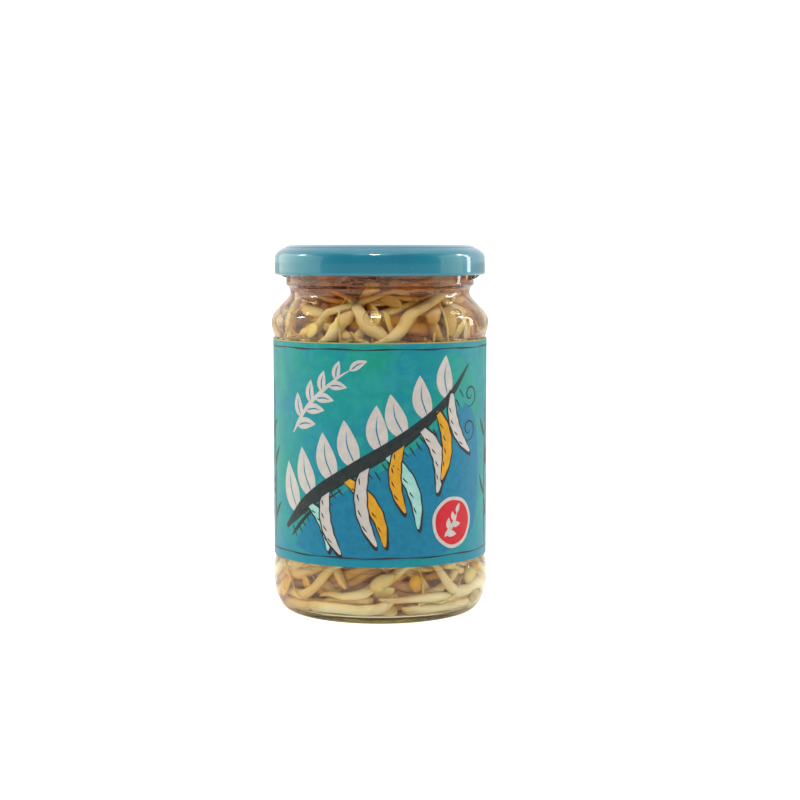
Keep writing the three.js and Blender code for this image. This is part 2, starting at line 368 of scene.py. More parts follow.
def makeJar():
    bm = turnProfile(jarOutline(), jar["segments"])
    low, high = jar["finishLow"] + 0.05, jar["finishHigh"] - 0.1
    for vert in bm.verts:
        radius = math.hypot(vert.co.x, vert.co.y)
        if radius < jar["outsideFrom"] or vert.co.z < jar["seamFrom"]:
            continue
        turn = math.degrees(math.atan2(vert.co.y, vert.co.x))
        rise = threadRise(turn, vert.co.z) if low < vert.co.z < high else 0
        for seam in (jar["seamAngle"], jar["seamAngle"] + 180):
            away = math.radians((turn - seam + 180) % 360 - 180) * radius / jar["seamWidth"]
            rise += jar["seamHeight"] * math.exp(-away ** 2)
        vert.co.x *= 1 + rise / radius
        vert.co.y *= 1 + rise / radius
    piece = placePiece("jar_clear_glass", bm, clearGlass(), "jar")
    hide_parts("jar_glass")


def letLampsThrough(material, shader, tint):
    # lamps and soft bounce light pass straight in, so that the sprouts behind the glass are lit
    path = addNode(material, "ShaderNodeLightPath")
    either = addNode(material, "ShaderNodeMath", operation="MAXIMUM",
                     links={0: path.outputs["Is Shadow Ray"], 1: path.outputs["Is Diffuse Ray"]})
    clear = addNode(material, "ShaderNodeBsdfTransparent", {"Color": tint})
    return addNode(material, "ShaderNodeMixShader",
                   links={0: either.outputs[0], 1: shader.outputs[0], 2: clear.outputs[0]})


def clearGlass():
    # moulded soda-lime glass: bright edges, a slight waviness that bends what lies behind
    material = newMaterial("moulded soda-lime glass")
    wave = noiseAt(material, 9, detail=1.0)
    shader = addNode(material, "ShaderNodeBsdfPrincipled",
                     {"Base Color": linear("#f6faf4"), "Roughness": 0.0, "IOR": 1.52,
                      "Transmission Weight": 1.0, "Specular Tint": (0.55, 0.55, 0.55, 1)},
                     {"Normal": bumpFrom(material, wave, 0.12, 0.08)})
    mixed = letLampsThrough(material, shader, linear("#f4f8f2"))
    depth = addNode(material, "ShaderNodeVolumeAbsorption",
                    {"Color": linear(jar["tint"]), "Density": jar["tintDensity"]})
    return finishMaterial(material, mixed, depth)


# Brine

brine = {
    "segments": 96, "level": 112.8, "overlap": 0.08, "meniscus": 0.7,
    "tint": "#ffe08a", "tintDensity": 140.0,
}


def makeBrine():
    # its side reaches just into the glass, so that no air gap shows between them
    wall = [(radius + brine["overlap"] * (radius > 1), height - brine["overlap"] * (height < 6))
            for radius, height in smoothLine(glassInside, 2) if height < brine["level"] - 0.4]
    edge = wall[-1][0] + 0.1
    surface = [(edge, brine["level"] + brine["meniscus"]), (edge - 0.7, brine["level"] + 0.25),
               (edge - 1.8, brine["level"] + 0.04), (edge - 4, brine["level"]), (0, brine["level"])]
    bm = turnProfile(wall + surface, brine["segments"])
    piece = placePiece("brine_liquid", bm, brineMaterial(), "jar")
    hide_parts("brine")


def brineMaterial():
    # salt water stained by the sprouts: amber where the light goes deep
    material = newMaterial("stained salt water")
    shader = addNode(material, "ShaderNodeBsdfPrincipled",
                     {"Base Color": linear("#fffaf2"), "Roughness": 0.0, "IOR": 1.34,
                      "Transmission Weight": 1.0, "Specular Tint": (0.1, 0.1, 0.1, 1)})
    mixed = letLampsThrough(material, shader, linear("#fffaf2"))
    depth = addNode(material, "ShaderNodeVolumeAbsorption",
                    {"Color": linear(brine["tint"]), "Density": brine["tintDensity"]})
    return finishMaterial(material, mixed, depth)


# Lid

lid = {
    "segments": 160,
    "outer": 34.75, "inner": 34.3, "bottom": 111.2, "top": 120.9, "panelTop": 120.1, "buttonTop": 119.5,
    "lugs": 4, "lugAngle": 33, "lugWidth": 10, "lugInner": 31.75, "lugOuter": 33.8,
    "lugBottom": 111.4, "lugTop": 112.35,
    "lacquerInside": 34.42, "lacquerFrom": 112.9, "bevelBottom": 117.9,
}


def lidOutline():
    top, panel, button = lid["top"], lid["panelTop"], lid["buttonTop"]
    upper = [(0, button - 0.1), (8, button - 0.04), (11.2, button), (12.0, button + 0.08),
             (13.3, panel - 0.1), (14.0, panel), (24.2, panel), (24.9, panel + 0.08),
             (25.9, top - 0.1), (26.6, top), (29.3, top), (29.9, top - 0.08), (30.4, top - 0.32)]
    bevel = smoothLine([(30.4, top - 0.32), (31.2, 120.3), (31.6, 119.93), (31.95, 119.86), (32.5, 119.62),
                        (33.2, 119.2), (33.9, 118.62), (34.45, 117.95), (lid["outer"], 117.1)], 3)[1:]
    skirt = [(lid["outer"], 115), (lid["outer"], 112.4)]
    hem = smoothLine([(lid["outer"], 112.2), (34.68, 111.75), (34.45, 111.35), (34.1, lid["bottom"]),
                      (33.72, 111.35), (33.48, 111.8), (33.52, 112.3), (33.85, 112.7), (34.22, 112.95),
                      (lid["inner"], 113.3)], 2)
    under = [(lid["inner"], 115), (lid["inner"], 117.1), (33.9, 117.8), (33.3, 118.4), (31.1, 119.75),
             (29.6, top - 0.45), (26.5, top - 0.45), (25.1, panel - 0.45), (13.9, panel - 0.45),
             (11.9, button - 0.45), (0, button - 0.55)]
    return upper + bevel, skirt + hem, under


def makeLid():
    top, side, under = lidOutline()
    bm = turnProfile(top + side + under, lid["segments"])
    for face in bm.faces:
        centre = face.calc_center_median()
        radius = math.hypot(centre.x, centre.y)
        surface = np.interp(radius, [r for r, z in top], [z for r, z in top])
        inside = radius < lid["lacquerInside"]
        below = inside if centre.z < lid["bevelBottom"] else centre.z < surface - 0.2
        face.material_index = 1 if below and centre.z > lid["lacquerFrom"] else 0
    for index in range(lid["lugs"]):
        middle = thread["firstAngle"] + lid["lugAngle"] + index * 360 / lid["lugs"]
        addLug(bm, math.radians(middle))
    piece = placePiece("lid_enamelled", bm, [lidEnamel(), insideLacquer()], "lid")
    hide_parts("lid_shell")


def addLug(bm, middle):
    # a short tongue of the hem, pressed inwards; its corners are rounded
    depth = lid["lugOuter"] - lid["lugInner"]
    width = math.radians(lid["lugWidth"]) * lid["lugInner"]
    made = bmesh.ops.create_cube(bm, size=1.0)["verts"]
    bmesh.ops.scale(bm, vec=(depth, width, lid["lugTop"] - lid["lugBottom"]), verts=made)
    edges = list({edge for vert in made for edge in vert.link_edges})
    rounded = bmesh.ops.bevel(bm, geom=edges, offset=0.32, segments=3, profile=0.5, affect="EDGES",
                              material=-1)
    verts = list({vert for face in rounded["faces"] for vert in face.verts}
                 | {vert for vert in made if vert.is_valid})
    place = Vector(((lid["lugInner"] + lid["lugOuter"]) / 2, 0, (lid["lugBottom"] + lid["lugTop"]) / 2))
    bmesh.ops.translate(bm, vec=place, verts=verts)
    bmesh.ops.rotate(bm, cent=(0, 0, 0), matrix=Matrix.Rotation(middle, 3, "Z"), verts=verts)


def lidEnamel():
    # stoved enamel on tinplate: even teal blue with a wet gloss and a faint orange peel
    material = newMaterial("stoved teal enamel")
    cloud = spread(material, noiseAt(material, 22, 2), 0.3, 0.7)
    speck = spread(material, noiseAt(material, 0.8, 1), 0.68, 0.74)
    colour = mixColour(material, cloud, linear("#0a5f7d"), linear("#0e6a83"))
    colour = mixColour(material, spread(material, speck, 0, 1, 0, 0.12), colour, linear("#6fb3bb"))
    peel = noiseAt(material, 1.6, 2)
    shader = addNode(material, "ShaderNodeBsdfPrincipled",
                     {"Roughness": 0.4, "Specular IOR Level": 0.5, "Specular Tint": (0.45, 1, 0.75, 1),
                      "Coat Weight": 0.75, "Coat Roughness": 0.05},
                     {"Base Color": colour, "Normal": bumpFrom(material, peel, 0.02, 0.5)})
    return finishMaterial(material, shader)


def insideLacquer():
    # clear gold lacquer over bare tinplate
    material = newMaterial("gold food lacquer")
    cloud = spread(material, noiseAt(material, 6, 2), 0.3, 0.7)
    colour = mixColour(material, cloud, linear("#cdb27c"), linear("#d9c193"))
    shader = addNode(material, "ShaderNodeBsdfPrincipled",
                     {"Metallic": 0.7, "Roughness": 0.34}, {"Base Color": colour})
    return finishMaterial(material, shader)


def makeSeal():
    outline = [(27.6, 119.3), (27.75, 119.2), (30.7, 119.2), (31.5, 118.97), (31.5, 119.2), (30.9, 119.53),
               (29.6, 120.12), (27.8, 120.12), (27.6, 120.0)]
    bm = turnProfile(outline, lid["segments"])
    material = newMaterial("plastisol sealing compound")
    cloud = spread(material, noiseAt(material, 4, 3), 0.3, 0.7)
    colour = mixColour(material, cloud, linear("#e6e0d0"), linear("#d8d0bd"))
    grain = bumpFrom(material, noiseAt(material, 1.2), 0.05, 0.5)
    shader = addNode(material, "ShaderNodeBsdfPrincipled", {"Roughness": 0.55},
                     {"Base Color": colour, "Normal": grain})
    piece = placePiece("seal_plastisol", bm, finishMaterial(material, shader), "seal")
    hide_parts("lid_seal")


# Label

label = {
    "segments": 180, "inner": 34.95, "outer": 35.4, "bottom": 19.1, "top": 90.4,
    "lapHeight": 0.18, "lapWidth": 8,
}


def makeLabel():
    rows = [label["bottom"] + share * (label["top"] - label["bottom"]) for share in (0, 0.25, 0.5, 0.75, 1)]
    outline = [(label["inner"], rows[-1]), (label["inner"], rows[0])] + [(label["outer"], z) for z in rows]
    bm = turnProfile(outline, label["segments"])
    for face in bm.faces:
        centre = face.calc_center_median()
        face.material_index = 1 if math.hypot(centre.x, centre.y) < label["inner"] + 0.1 else 0
    addLap(bm)
    piece = placePiece("label_paper_sleeve", bm, [labelPaper(), paperBack()], "jar")
    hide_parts("label")


def paperBack():
    # uncoated back of the label, seen through the jar from the far side: dull off-white
    material = newMaterial("bare paper back")
    cloud = spread(material, noiseAt(material, 5, 3), 0.35, 0.65)
    colour = mixColour(material, cloud, linear("#dcdcd2"), linear("#e9e6da"))
    shader = addNode(material, "ShaderNodeBsdfPrincipled", {"Roughness": 0.8, "Specular IOR Level": 0.1},
                     {"Base Color": colour})
    return finishMaterial(material, shader)


def addLap(bm):
    # the sheet's end, pasted over its start at the back
    inner, outer = label["outer"] - 0.05, label["outer"] + label["lapHeight"]
    corners = [(inner, label["bottom"]), (outer, label["bottom"]),
               (outer, label["top"]), (inner, label["top"])]
    verts = [bm.verts.new((radius, 0, height)) for radius, height in corners]
    face = bm.faces.new(verts)
    start = math.pi / 2 - label["lapWidth"] / label["outer"] / 2
    bmesh.ops.rotate(bm, cent=(0, 0, 0), matrix=Matrix.Rotation(start, 3, "Z"), verts=verts)
    bmesh.ops.spin(bm, geom=verts + list(face.edges) + [face], axis=(0, 0, 1), cent=(0, 0, 0),
                   dvec=(0, 0, 0), angle=label["lapWidth"] / label["outer"], steps=8)
    bmesh.ops.recalc_face_normals(bm, faces=bm.faces)


def labelPaper():
    # coated label paper printed with a mottled teal wash, dry brush marks and a fine paper tooth
    material = newMaterial("coated paper, teal wash print")
    place = addNode(material, "ShaderNodeTexCoord").outputs["Object"]
    wide = spread(material, noiseAt(material, 26, 3, 0.6, place, 0.6), 0.42, 0.62)
    green = spread(material, noiseAt(material, 17, 3, 0.6, addShift(material, place, 3.1), 0.8), 0.5, 0.68)
    patch = spread(material, noiseAt(material, 7, 5, 0.65, addShift(material, place, 7.7), 1.2), 0.42, 0.6)
    colour = mixColour(material, wide, linear("#067f80"), linear("#057389"))
    colour = mixColour(material, green, colour, linear("#04836f"))
    colour = mixColour(material, spread(material, patch, 0, 1, 0, 0.35), colour, linear("#2a9290"))
    slanted = addNode(material, "ShaderNodeMapping", {"Rotation": (0, 0.6, 0), "Scale": (1, 1, 0.12)},
                      {"Vector": place}).outputs[0]
    brush = spread(material, noiseAt(material, 1.5, 3, 0.6, slanted, 0.3), 0.56, 0.7, 0, 0.45)
    colour = mixColour(material, brush, colour, linear("#04707e"))
    height = addNode(material, "ShaderNodeSeparateXYZ", links={0: place}).outputs["Z"]
    uneven = addNode(material, "ShaderNodeMath", {1: 0.012}, {0: wide, 2: height}, operation="MULTIPLY_ADD")
    low = spread(material, uneven.outputs[0], 0.034, 0.026, 0, 0.6)
    colour = mixColour(material, low, colour, linear("#0f7192"))
    colour = mixColour(material, spread(material, height, 0.09, 0.0901), colour, linear("#9c8a50"))
    tooth = noiseAt(material, 0.5, 2, 0.6, place)
    shader = addNode(material, "ShaderNodeBsdfPrincipled",
                     {"Roughness": 0.42, "Specular IOR Level": 0.22},
                     {"Base Color": colour, "Normal": bumpFrom(material, tooth, 0.02, 0.4)})
    return finishMaterial(material, shader)


def addShift(material, vector, amount):
    return addNode(material, "ShaderNodeVectorMath", {1: (amount, amount, amount)}, {0: vector},
                   operation="ADD").outputs[0]


# Print on the label: drawn flat in millimetres (x along the label, y its height), then wrapped

artwork = {
    "facet": 1.5, "inkStep": 0.006, "inkBase": 0.02, "inkUnder": 0.05, "clearOfLap": 106,
    "cream": ("#b6b0ad", "#aaa4a1"), "charcoal": ("#1d2527", "#272f31"), "red": ("#bb1a28", "#ae1724"),
    "ochre": ("#c8921c", "#b98217"), "paleTeal": ("#80b5b1", "#98bfba"), "blue": ("#0c7090", "#076485"),
    "spot": (25.5, 32.5, 7.2),
    "branch": [(-36, 30), (-22, 41.5), (-7, 51), (8, 60), (22, 71), (33, 83)],
    "pods": [
        # place along the branch from 0 to 1, angle, length, width, bend, ink
        (0.16, -62, 17, 3.2, 2.5, "paleTeal"), (0.27, -78, 22, 3.6, -3, "cream"),
        (0.34, -58, 26, 3.8, 3.5, "ochre"), (0.45, -84, 27, 3.8, -3.5, "cream"),
        (0.52, -66, 27, 3.8, 3.5, "paleTeal"), (0.6, -88, 23, 3.6, -3, "ochre"),
        (0.68, -74, 22, 4.0, 3.5, "cream"), (0.77, -86, 22, 3.6, 3, "ochre"),
        (0.86, -66, 21, 3.6, -3, "cream"),
    ],
}
inkNames = ("cream", "charcoal", "red", "ochre", "paleTeal", "blue")


def fillOutline(bm, outline, layer, ink):
    # an outline filled with ink; each layer of ink stands a hair prouder than the one below
    verts = [bm.verts.new((x, y, -artwork["inkUnder"])) for x, y in outline]
    edges = [bm.edges.new((verts[i - 1], verts[i])) for i in range(len(verts))]
    filled = bmesh.ops.triangle_fill(bm, use_beauty=True, use_dissolve=False, normal=(0, 0, 1), edges=edges)
    faces = [item for item in filled["geom"] if isinstance(item, bmesh.types.BMFace)]
    for face in faces:
        face.material_index = inkNames.index(ink)
    made = bmesh.ops.extrude_face_region(bm, geom=faces)["geom"]
    raised = [item for item in made if isinstance(item, bmesh.types.BMVert)]
    lift = artwork["inkUnder"] + artwork["inkBase"] + artwork["inkStep"] * layer
    bmesh.ops.translate(bm, vec=(0, 0, lift), verts=raised)


def ribbonOutline(points, widthAt, count=24):
    path = smoothPath(np.array(points, float), count)
    along = np.gradient(path, axis=0)
    along /= np.linalg.norm(along, axis=1)[:, None]
    across = np.stack([-along[:, 1], along[:, 0]], axis=1)
    half = np.array([widthAt(i / (count - 1)) / 2 for i in range(count)])[:, None]
    return [tuple(p) for p in np.concatenate([path + across * half, (path - across * half)[::-1]])]


def inkStroke(bm, points, width, layer, ink="charcoal", count=24):
    # a brush line that swells and runs out to a point
    def widthAt(share):
        return width * min(0.3 + share * 5, 1, 0.08 + ((1 - share) / 0.45) ** 0.8)
    fillOutline(bm, ribbonOutline(points, widthAt, count), layer, ink)


def inkPod(bm, place, layer):
    # a long bean pod: dark outline below, coloured body above, short hatching along its lower side
    x, y, angle, length, width, bend, ink = place
    turn = math.radians(angle)
    along = np.array([math.cos(turn), math.sin(turn)])
    across = np.array([-along[1], along[0]])
    base = np.array([x, y], float)
    middle = base + along * length * 0.5 + across * bend
    tip = base + along * length
    belly = across * bend * 0.25
    path = [base, (base + middle) / 2 + belly, middle, (middle + tip) / 2 + belly, tip]

    def bodyWidth(share):
        beans = 1 + 0.06 * math.sin(share * 34)
        return width * math.sin(math.pi * (0.03 + 0.96 * share ** 0.9)) ** 0.6 * beans

    def rimWidth(share):
        return bodyWidth(share) + 0.9 * math.sin(math.pi * share) ** 0.3 + 0.05

    edge = [base - along * 1.2] + path[1:-1] + [tip + along * 1.4]
    fillOutline(bm, ribbonOutline(edge, rimWidth, 34), layer, "charcoal")
    fillOutline(bm, ribbonOutline(path, bodyWidth, 30), layer + 1, ink)
    guide = smoothPath(np.array(path), 12)
    for step in range(2, 10, 2):
        begin = guide[step] - across * width * 0.32
        end = guide[step + 1] - across * width * 0.12
        inkStroke(bm, [begin, (begin + end) / 2 - across * 0.1, end], 0.42, layer + 2, count=6)


def inkLeaf(bm, base, angle, length, width, layer, ink, vein="blue"):
    turn = math.radians(angle)
    along = np.array([math.cos(turn), math.sin(turn)])
    across = np.array([-along[1], along[0]])
    base = np.array(base, float)
    path = [base, base + along * length * 0.5 + across * length * 0.06, base + along * length]

    def leafWidth(share):
        return 0.05 + width * math.sin(math.pi * share ** 0.8) ** 0.9

    fillOutline(bm, ribbonOutline(path, leafWidth, 16), layer, ink)
    if vein:
        line = [base + along * length * 0.12, path[1], base + along * length * 0.8]
        inkStroke(bm, line, 0.45, layer + 1, vein, 8)


def inkSprig(bm, points, leaves, length, width, layer, ink="cream", vein="blue"):
    # a stem with leaves on both sides and one at its tip
    inkStroke(bm, points, 1.3, layer, ink)
    guide = smoothPath(np.array(points, float), 40)
    for index in range(leaves):
        share = 0.12 + 0.78 * index / leaves
        step = int(share * 39)
        heading = math.degrees(math.atan2(*(guide[step + 1] - guide[step])[::-1]))
        size = 1 - 0.35 * share
        heading += (52 - 14 * share) * (1 if index % 2 else -1)
        inkLeaf(bm, guide[step], heading, length * size, width * size, layer, ink, vein)
    heading = math.degrees(math.atan2(*(guide[-1] - guide[-2])[::-1]))
    inkLeaf(bm, guide[-2], heading, length * 0.75, width * 0.7, layer, ink, vein)


def inkSpot(bm, x, y, radius, layer, ink):
    outline = []
    for i in range(56):
        turn = i / 56 * 2 * math.pi
        wobble = 1 + 0.012 * math.sin(3 * turn) + 0.008 * math.sin(7 * turn + 1)
        outline.append((x + radius * wobble * math.cos(turn), y + radius * wobble * math.sin(turn)))
    fillOutline(bm, outline, layer, ink)


def inkPanel(bm, left, bottom, right, top, layer, ink, corner=2.5):
    outline = []
    for cx, cy, start in ((right - corner, top - corner, 0), (left + corner, top - corner, 90),
                          (left + corner, bottom + corner, 180), (right - corner, bottom + corner, 270)):
        for i in range(7):
            turn = math.radians(start + i * 15)
            outline.append((cx + corner * math.cos(turn), cy + corner * math.sin(turn)))
    fillOutline(bm, outline, layer, ink)


def drawFront(bm):
    # a deeper wash, a branch with leaves above and hanging pods below, a sprig and the round spot
    draw = drawFrom(77)
    wash = [(-31, 24.5), (-24, 35), (-10, 44), (6, 53), (20, 63), (32, 70), (38, 62), (39, 44), (36, 30),
            (22, 23), (0, 21.4), (-20, 21.8)]
    fillOutline(bm, [tuple(p) for p in smoothPath(np.array(wash + wash[:1], float), 70)[:-1]], 1, "blue")
    branch = smoothPath(np.array(artwork["branch"], float), 101)
    for share in np.linspace(0.09, 0.83, 8):
        heading = 118 - 26 * share + draw(-9, 9)
        inkLeaf(bm, branch[int(share * 100)], heading, 17.5 - 4 * share, 7.6 - 1.6 * share, 2, "cream")
    inkSprig(bm, [(-32, 61), (-25, 70), (-14, 79), (-9, 82)], 8, 8.6, 3.9, 2)
    inkStroke(bm, artwork["branch"], 4.6, 4, count=60)
    inkStroke(bm, [(-33, 27.5), (-24, 36), (-12, 44)], 1.2, 4, count=30)
    for index, (share, *shape) in enumerate(artwork["pods"]):
        inkPod(bm, (*branch[int(share * 100)], *shape), 5 + 2 * index)
    inkStroke(bm, [p + np.array([0.4, -0.3]) for p in branch[10:90:10]], 2.6, 24, count=60)
    for i in range(30):
        x, y = branch[4 + 3 * i] + np.array([draw(0.5, 1.5), draw(-3.4, -1.4)])
        inkStroke(bm, [(x, y), (x + 0.9, y - draw(1, 1.6)), (x + 2.2, y - draw(2.2, 3.6))], 0.5, 3, count=7)
    for x, y in ((33, 64), (34, 75)):
        curl = []
        for k in range(12):
            reach = 0.6 + 0.32 * k
            curl.append((x + reach * math.cos(k * 0.8), y - 2 - reach * math.sin(k * 0.8)))
        inkStroke(bm, curl, 0.6, 3, count=40)
    x, y, radius = artwork["spot"]
    inkSpot(bm, x, y, radius + 1.1, 25, "cream")
    inkSpot(bm, x, y, radius, 26, "red")
    inkSprig(bm, [(x - 3.6, y - 4.4), (x, y - 0.5), (x + 1.6, y + 3.0)], 4, 4.4, 2.2, 27, vein=None)


def drawSides(bm):
    # inked reeds at both sides, ruled panels without words at the back
    draw = drawFrom(5)
    for side in (-1, 1):
        for reed in range(3):
            x = side * (46 + 5.5 * reed)
            lean = draw(-2, 2)
            inkStroke(bm, [(x, 23), (x + lean * 0.3, 45), (x + lean, draw(66, 82))], 1.0, 2, count=30)
            for leaf, height in enumerate((31, 39, 48, 58)):
                tilt = (38 + draw(-8, 8)) * (1 if (leaf + reed) % 2 else -1)
                foot = (x + lean * (height - 23) / 55, height)
                inkLeaf(bm, foot, 90 + tilt, draw(8, 11), 1.5, 3, "charcoal", None)
        left, right = sorted((side * 66, side * 101))
        inkPanel(bm, left, 27, right, 82, 2, "cream")
        inkPanel(bm, left + 3, 73, right - 3, 78.5, 3, "ochre", 1.2)
        for row in range(13):
            end = right - 3 - draw(0, 9)
            inkPanel(bm, left + 3, 68.4 - row * 3, end, 68.9 - row * 3, 3, "charcoal", 0.2)
    for height in (22.0, 88.2):
        span = artwork["clearOfLap"]
        points = [(x, height + 0.12 * math.sin(x * 0.31)) for x in np.linspace(-span, span, 60)]
        rule = ribbonOutline(points, lambda share: 0.42 + 0.14 * math.sin(share * 90), 150)
        fillOutline(bm, rule, 2, "charcoal")


def printInk(name):
    # offset ink: even, with slight mottling and soft gloss
    first, second = artwork[name]
    material = newMaterial("offset ink, " + name)
    mottle = spread(material, noiseAt(material, 2.2, 3, 0.65), 0.35, 0.68)
    colour = mixColour(material, mottle, linear(first), linear(second))
    tooth = noiseAt(material, 0.5, 2, 0.6)
    shader = addNode(material, "ShaderNodeBsdfPrincipled", {"Roughness": 0.42, "Specular IOR Level": 0.22},
                     {"Base Color": colour, "Normal": bumpFrom(material, tooth, 0.02, 0.4)})
    return finishMaterial(material, shader)


def makePrint():
    bm = bmesh.new()
    drawFront(bm)
    drawSides(bm)
    reach = artwork["clearOfLap"] + 3
    for cut in np.arange(-reach, reach, artwork["facet"]):
        bmesh.ops.bisect_plane(bm, geom=bm.verts[:] + bm.edges[:] + bm.faces[:], dist=1e-4,
                               plane_co=(cut, 0, 0), plane_no=(1, 0, 0))
    for vert in bm.verts:
        turn = vert.co.x / label["outer"] - math.pi / 2
        radius = label["outer"] + vert.co.z
        vert.co = (radius * math.cos(turn), radius * math.sin(turn), vert.co.y)
    bmesh.ops.recalc_face_normals(bm, faces=bm.faces)
    placePiece("label_print", bm, [printInk(name) for name in inkNames], "jar")


# Sprouts

bunch = {
    "bottom": 4.4, "top": 111.0, "stems": 54, "shortest": 44, "longest": 68, "stemRadius": 2.7,
    "steepest": 60, "bow": 9, "deepest": 0.9, "endDip": 0.7, "seed": 20261,
    "extraStems": 290, "extraLength": (24, 58), "extraDeepest": 10, "extraSeed": 4711, "beads": 14,
    "thin": 1.2, "thick": 1.85, "leafShare": 0.5, "looseLeaves": 130,
    "leafLength": (6.4, 9.2), "leafWidth": (3.8, 5.0), "leafThick": (1.6, 2.3),
    "roots": 90, "rootRadius": 0.5, "rounds": 56, "clear": 0.22, "coreRadius": 19,
}
# short stems that lie flat on the base
lowStems = {
    "count": 34, "bands": [(4, 11)], "slope": 20, "length": (26, 50), "bow": 5,
    "depth": (-1, 9), "sink": 2.5,
}
# deep stems behind the two bare bands of glass, so that no gap looks through the jar
fillers = {
    "count": 36, "bands": [(5, 19), (88, 104)], "slope": 25, "length": (36, 56), "bow": 5,
    "depth": (4, 10), "sink": 0,
}
bunchEdge = [
    (4.4, 28.2), (6.2, 29.8), (8.5, 30.6), (90.2, 30.6), (93.5, 30.9), (97, 30.2), (100.5, 27.5),
    (103, 25.9), (105.8, 25.3), (112, 26),
]


def stemBeads(turn, middle, slope, length, bow, depth, count):
    # points along one stem, bent round the inside of the jar
    along = np.linspace(-1, 1, count)
    run = along * length / 2
    side = bow * (1 - along ** 2)
    rise = run * math.sin(slope) + side * math.cos(slope)
    thick = bunch["stemRadius"]
    height = np.clip(middle + rise, bunch["bottom"] + thick, bunch["top"] - thick)
    edge = np.interp(height, [z for z, r in bunchEdge], [r for z, r in bunchEdge])
    radius = edge - thick - depth - bunch["endDip"] * along ** 4
    angle = turn + (run * math.cos(slope) - side * math.sin(slope)) / radius
    return np.stack([radius * np.cos(angle), radius * np.sin(angle), height], axis=1)


def growBunch():
    # every stem, seed leaf and root as a chain of beads; the first stems start on the solid's own lines
    golden = math.pi * (3 - math.sqrt(5))
    low, span = bunch["bottom"], bunch["top"] - bunch["bottom"]
    chains = []

    def addChain(kind, beads, radius, owner=None, joined=None):
        chains.append({"kind": kind, "beads": beads, "radius": radius, "joined": joined,
                       "owner": len(chains) if owner is None else owner})

    def addStems(group):
        for index in range(group["count"]):
            band = group["bands"][index % len(group["bands"])]
            beads = stemBeads(draw(0, 2 * math.pi), draw(*band),
                              math.radians(draw(-group["slope"], group["slope"])), draw(*group["length"]),
                              draw(-group["bow"], group["bow"]), draw(*group["depth"]), bunch["beads"])
            beads[:, 2] -= group["sink"]
            addChain("stem", beads, draw(bunch["thin"], bunch["thick"]))

    draw = drawFrom(bunch["seed"])
    for index in range(bunch["stems"]):
        turn = index * golden + draw(-0.25, 0.25)
        middle = low + span * (index + 0.5) / bunch["stems"]
        slope = math.radians(draw(-bunch["steepest"], bunch["steepest"]))
        length = draw(bunch["shortest"], bunch["longest"])
        bow = draw(-bunch["bow"], bunch["bow"])
        beads = stemBeads(turn, middle, slope, length, bow, draw(0, bunch["deepest"]), bunch["beads"])
        addChain("stem", beads, bunch["thin"] + (bunch["thick"] - bunch["thin"]) * (index % 5) / 4)
    draw = drawFrom(bunch["extraSeed"])
    for index in range(bunch["extraStems"]):
        middle = low + span * (index + 0.5) / bunch["extraStems"]
        slope = math.radians(draw(-bunch["steepest"], bunch["steepest"]))
        length = draw(*bunch["extraLength"])
        bow = draw(-bunch["bow"], bunch["bow"])
        beads = stemBeads(draw(0, 2 * math.pi), middle, slope, length, bow, draw(0, bunch["extraDeepest"]),
                          bunch["beads"])
        addChain("stem", beads, draw(bunch["thin"], bunch["thick"]))
    addStems(lowStems)
    for index in range(len(chains)):
        if draw(0, 1) > bunch["leafShare"]:
            continue
        beads = chains[index]["beads"]
        heading = beads[-1] - beads[-2]
        heading /= np.linalg.norm(heading)
        for twin in (-1, 1):
            spreadOut = np.array([draw(-0.4, 0.4), draw(-0.4, 0.4), twin * draw(0.1, 0.7)])
            leaf = beads[-1] + (heading + spreadOut) * np.array([[1.6], [3.6], [5.6]])
            addChain("leaf", leaf, 1.75, index, index)
    for index in range(bunch["looseLeaves"]):
        middle = low + 3 + (span - 6) * (index + 0.5) / bunch["looseLeaves"]
        beads = stemBeads(draw(0, 2 * math.pi), middle, draw(-1.5, 1.5), 4.4, 0, draw(-1, 0.4), 3)
        addChain("leaf", beads, 1.75)
    for index in range(bunch["roots"]):
        middle = low + 4 + (span - 8) * (index + 0.5) / bunch["roots"]
        beads = stemBeads(draw(0, 2 * math.pi), middle, draw(-1.3, 1.3), draw(18, 40), draw(-7, 7),
                          draw(-2.2, 0.5), 12)
        addChain("root", beads, bunch["rootRadius"] + 0.15)
    addStems(fillers)
    return chains


def chainLinks(chains):
    # links keep the beads of a chain in step, and tie a seed leaf to the end of its stem
    rows, starts, offset = [], [], 0
    for chain in chains:
        starts.append(offset)
        beads = chain["beads"]
        for reach, strength in ((1, 1.0), (2, 0.5), (4, 0.2)):
            for i in range(len(beads) - reach):
                apart = np.linalg.norm(beads[i + reach] - beads[i])
                rows.append((offset + i, offset + i + reach, apart, strength))
        if chain["joined"] is not None:
            last = starts[chain["joined"]] + len(chains[chain["joined"]]["beads"]) - 1
            rows.append((last, offset, 2.2, 1.0))
        offset += len(beads)
    first, second, rest, strength = zip(*rows)
    return np.array(first), np.array(second), np.array(rest), np.array(strength)


def nearPairs(points, radii, owners, margin):
    # pairs of beads of different sprouts that touch or soon may
    found = []
    squares = (points ** 2).sum(axis=1)
    for begin in range(0, len(points), 800):
        part = slice(begin, begin + 800)
        apart = squares[part, None] + squares[None] - 2 * points[part] @ points.T
        reach = radii[part, None] + radii[None] + margin
        rows, columns = np.nonzero((apart < reach ** 2) & (owners[part, None] < owners[None]))
        found.append(np.stack([rows + begin, columns]))
    return np.concatenate(found, axis=1)


def gather(index, values, count):
    return np.stack([np.bincount(index, values[:, axis], count) for axis in range(3)], axis=1)


def wallAt(heights):
    return np.interp(heights, [height for radius, height in glassInside[4:]],
                     [radius for radius, height in glassInside[4:]])


def floorAt(radius):
    return np.interp(radius, [radius for radius, height in glassInside[:7]],
                     [height for radius, height in glassInside[:7]])


